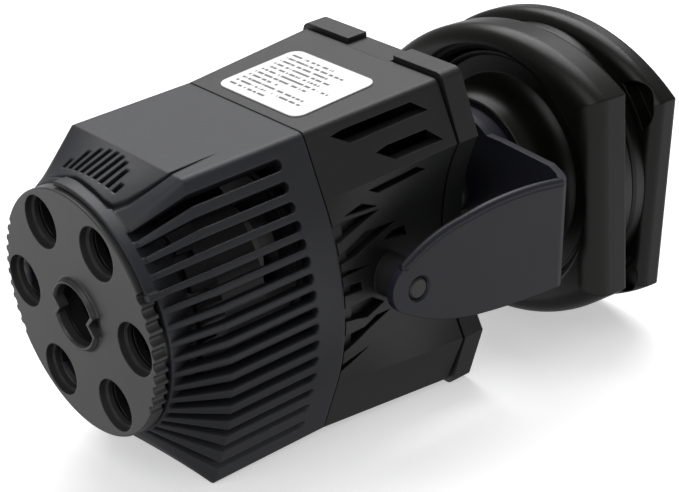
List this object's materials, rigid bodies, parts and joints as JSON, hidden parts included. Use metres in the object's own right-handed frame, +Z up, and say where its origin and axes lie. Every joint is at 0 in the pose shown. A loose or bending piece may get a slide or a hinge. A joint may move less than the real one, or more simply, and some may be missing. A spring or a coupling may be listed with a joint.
{
  "type": "wave maker pump",
  "caption": "Aquarium wave maker pump: slotted faceted housing with a turnable flow disc at the nose, tilting in a side-pivoted yoke on a swivelling magnet base.",
  "frame": {"origin": "on the floor, under the middle of the whole pump's bounding box, as it rests on its housing's front lower edge and its outer magnet", "axes": "+X to the right when looking at the nose, +Y from the nose to the magnet base, +Z up"},
  "size_m": [0.0654, 0.129, 0.0688],
  "materials": {
    "cage_plastic": "moulded ABS, fine matt texture",
    "disc_plastic": "moulded ABS, satin",
    "duct_plastic": "moulded black plastic",
    "housing_plastic": "moulded ABS, fine matt texture",
    "yoke_plastic": "moulded ABS, satin",
    "pin_plastic": "moulded acetal",
    "boot_rubber": "soft gloss rubber",
    "seal_rubber": "matt rubber",
    "ceramic": "polished ceramic",
    "rotor_plastic": "moulded acetal",
    "propeller_plastic": "moulded nylon",
    "ferrite": "ground ferrite",
    "lamination_steel": "punched electrical steel",
    "plated_steel": "zinc plated",
    "stainless": "polished stainless steel",
    "black_steel": "black oxide",
    "bobbin_plastic": "moulded nylon",
    "copper_wire": "enamelled copper wire",
    "resin": "cast epoxy",
    "label_foil": "printed foil"
  },
  "bodies": {
    "housing": {"intake_cage": "cage_plastic", "outlet_guide": "disc_plastic", "propeller_duct": "duct_plastic", "front_spider": "duct_plastic", "front_bush": "ceramic", "shaft": "ceramic", "rear_bush": "ceramic", "front_thrust_washer": "ceramic", "rear_thrust_washer": "ceramic", "motor_can": "duct_plastic", "can_seal": "seal_rubber", "stator_core": "lamination_steel", "coil_bobbins": "bobbin_plastic", "stator_coils": "copper_wire", "thermal_cutout": "bobbin_plastic", "potting_block": "resin", "rear_shell": "housing_plastic", "rear_cover": "housing_plastic", "cable_gland": "seal_rubber", "rating_label": "label_foil", "pivot_pins": "pin_plastic", "friction_washers": "seal_rubber"},
    "flow_disc": {"flow_disc": "disc_plastic"},
    "rotor": {"rotor_sleeve": "rotor_plastic", "rotor_magnet": "ferrite", "drive_coupling": "seal_rubber", "propeller": "propeller_plastic", "propeller_cap": "propeller_plastic"},
    "yoke": {"yoke_bracket": "yoke_plastic", "swivel_bolt": "black_steel", "swivel_washer": "stainless", "swivel_nut": "stainless"},
    "inner_base": {"swivel_socket": "duct_plastic", "inner_boot": "boot_rubber", "inner_back_iron": "plated_steel", "inner_magnet": "ferrite", "inner_pad": "boot_rubber"},
    "outer_base": {"outer_pad": "boot_rubber", "outer_magnet": "ferrite", "outer_back_iron": "plated_steel", "outer_housing": "boot_rubber"}
  },
  "joints": [
    {"name": "flow_disc_turn", "type": "hinge", "parent": "housing", "child": "flow_disc", "pos_m": [0, -0.06301, 0.03502], "axis": [0, 0.9989, 0.046], "range_deg": [0, 30]},
    {"name": "rotor_spin", "type": "hinge", "parent": "housing", "child": "rotor", "pos_m": [0, -0.02305, 0.03686], "axis": [0, 0.9989, 0.046], "continuous": true},
    {"name": "yoke_tilt", "type": "hinge", "parent": "housing", "child": "yoke", "pos_m": [0, -0.00879, 0.03361], "axis": [1, 0, 0], "range_deg": [-20.6, 29.4]},
    {"name": "base_swivel", "type": "hinge", "parent": "yoke", "child": "inner_base", "pos_m": [0, 0.03619, 0.03223], "axis": [0, 0.9995, -0.0307], "continuous": true},
    {"name": "outer_magnet_pull", "type": "slide", "parent": "inner_base", "child": "outer_base", "axis": [0, 0.9995, -0.0307], "range_m": [0, 0.012]}
  ]
}
